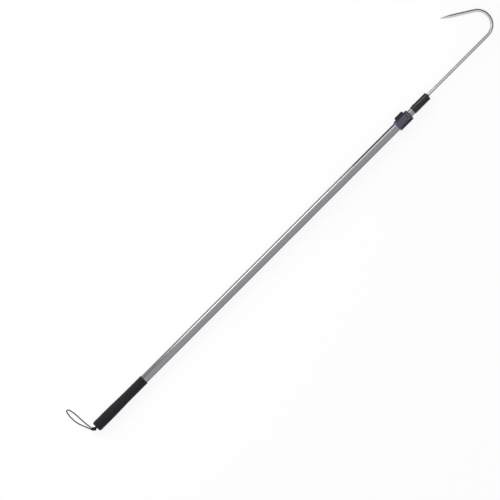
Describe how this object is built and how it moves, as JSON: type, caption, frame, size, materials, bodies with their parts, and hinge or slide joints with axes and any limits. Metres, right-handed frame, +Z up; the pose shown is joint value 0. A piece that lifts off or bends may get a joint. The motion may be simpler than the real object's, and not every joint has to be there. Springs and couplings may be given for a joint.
{
  "type": "fishing gaff",
  "caption": "Telescopic fishing gaff: outer pole with foam grip and wrist strap, push-button lock collar, sliding inner pole and a bent, pointed steel hook.",
  "frame": {"origin": "centre of the bottom face of the gaff's bounding box without the wrist strap, on the floor it lies on", "axes": "+X along the pole from the butt to the hook, +Y to the side that the hook's point and the lock button are on, +Z up from the floor"},
  "size_m": [1.479, 0.133, 0.0284],
  "materials": {
    "outer_pole": "satin grey anodised",
    "inner_pole": "satin grey anodised",
    "hook_steel": "drawn and polished stainless steel",
    "small_steel": "plain stainless steel",
    "collar_plastic": "fine moulded grain",
    "button_plastic": "moulded, satin",
    "bush_nylon": "plain nylon",
    "plug_plastic": "plain moulded",
    "sleeve_plastic": "half gloss",
    "grip_foam": "ground closed-cell foam",
    "wiper_rubber": "smooth",
    "strap_cord": "braided cord"
  },
  "bodies": {
    "handle": {"outer_tube": "outer_pole", "grip": "grip_foam", "butt_plug": "plug_plastic", "strap_washer": "small_steel", "strap_stopper": "strap_cord", "strap_cord": "strap_cord", "strap_knot": "strap_cord", "mouth_bush": "bush_nylon", "collar_housing": "collar_plastic", "collar_cap": "collar_plastic", "wiper_ring": "wiper_rubber", "cap_screws": "small_steel", "collar_screws": "small_steel", "lock_springs": "small_steel"},
    "button": {"lock_button": "button_plastic", "lock_plate": "small_steel", "button_pins": "small_steel"},
    "shaft": {"inner_tube": "inner_pole", "tail_bush": "bush_nylon", "tail_pin": "small_steel", "hook_plug": "plug_plastic", "hook": "hook_steel", "hook_sleeve": "sleeve_plastic", "hook_rivet": "small_steel"}
  },
  "joints": [
    {"name": "pole_extend", "type": "slide", "parent": "handle", "child": "shaft", "axis": [1, 0, 0], "range_m": [-0.0109, 0.9135]},
    {"name": "button_press", "type": "slide", "parent": "handle", "child": "button", "axis": [0, -0.9952, 0.0978], "range_m": [0, 0.0018], "stiffness_N_per_m": 3000, "springref_m": -0.002, "deforming": ["lock_springs"]}
  ]
}
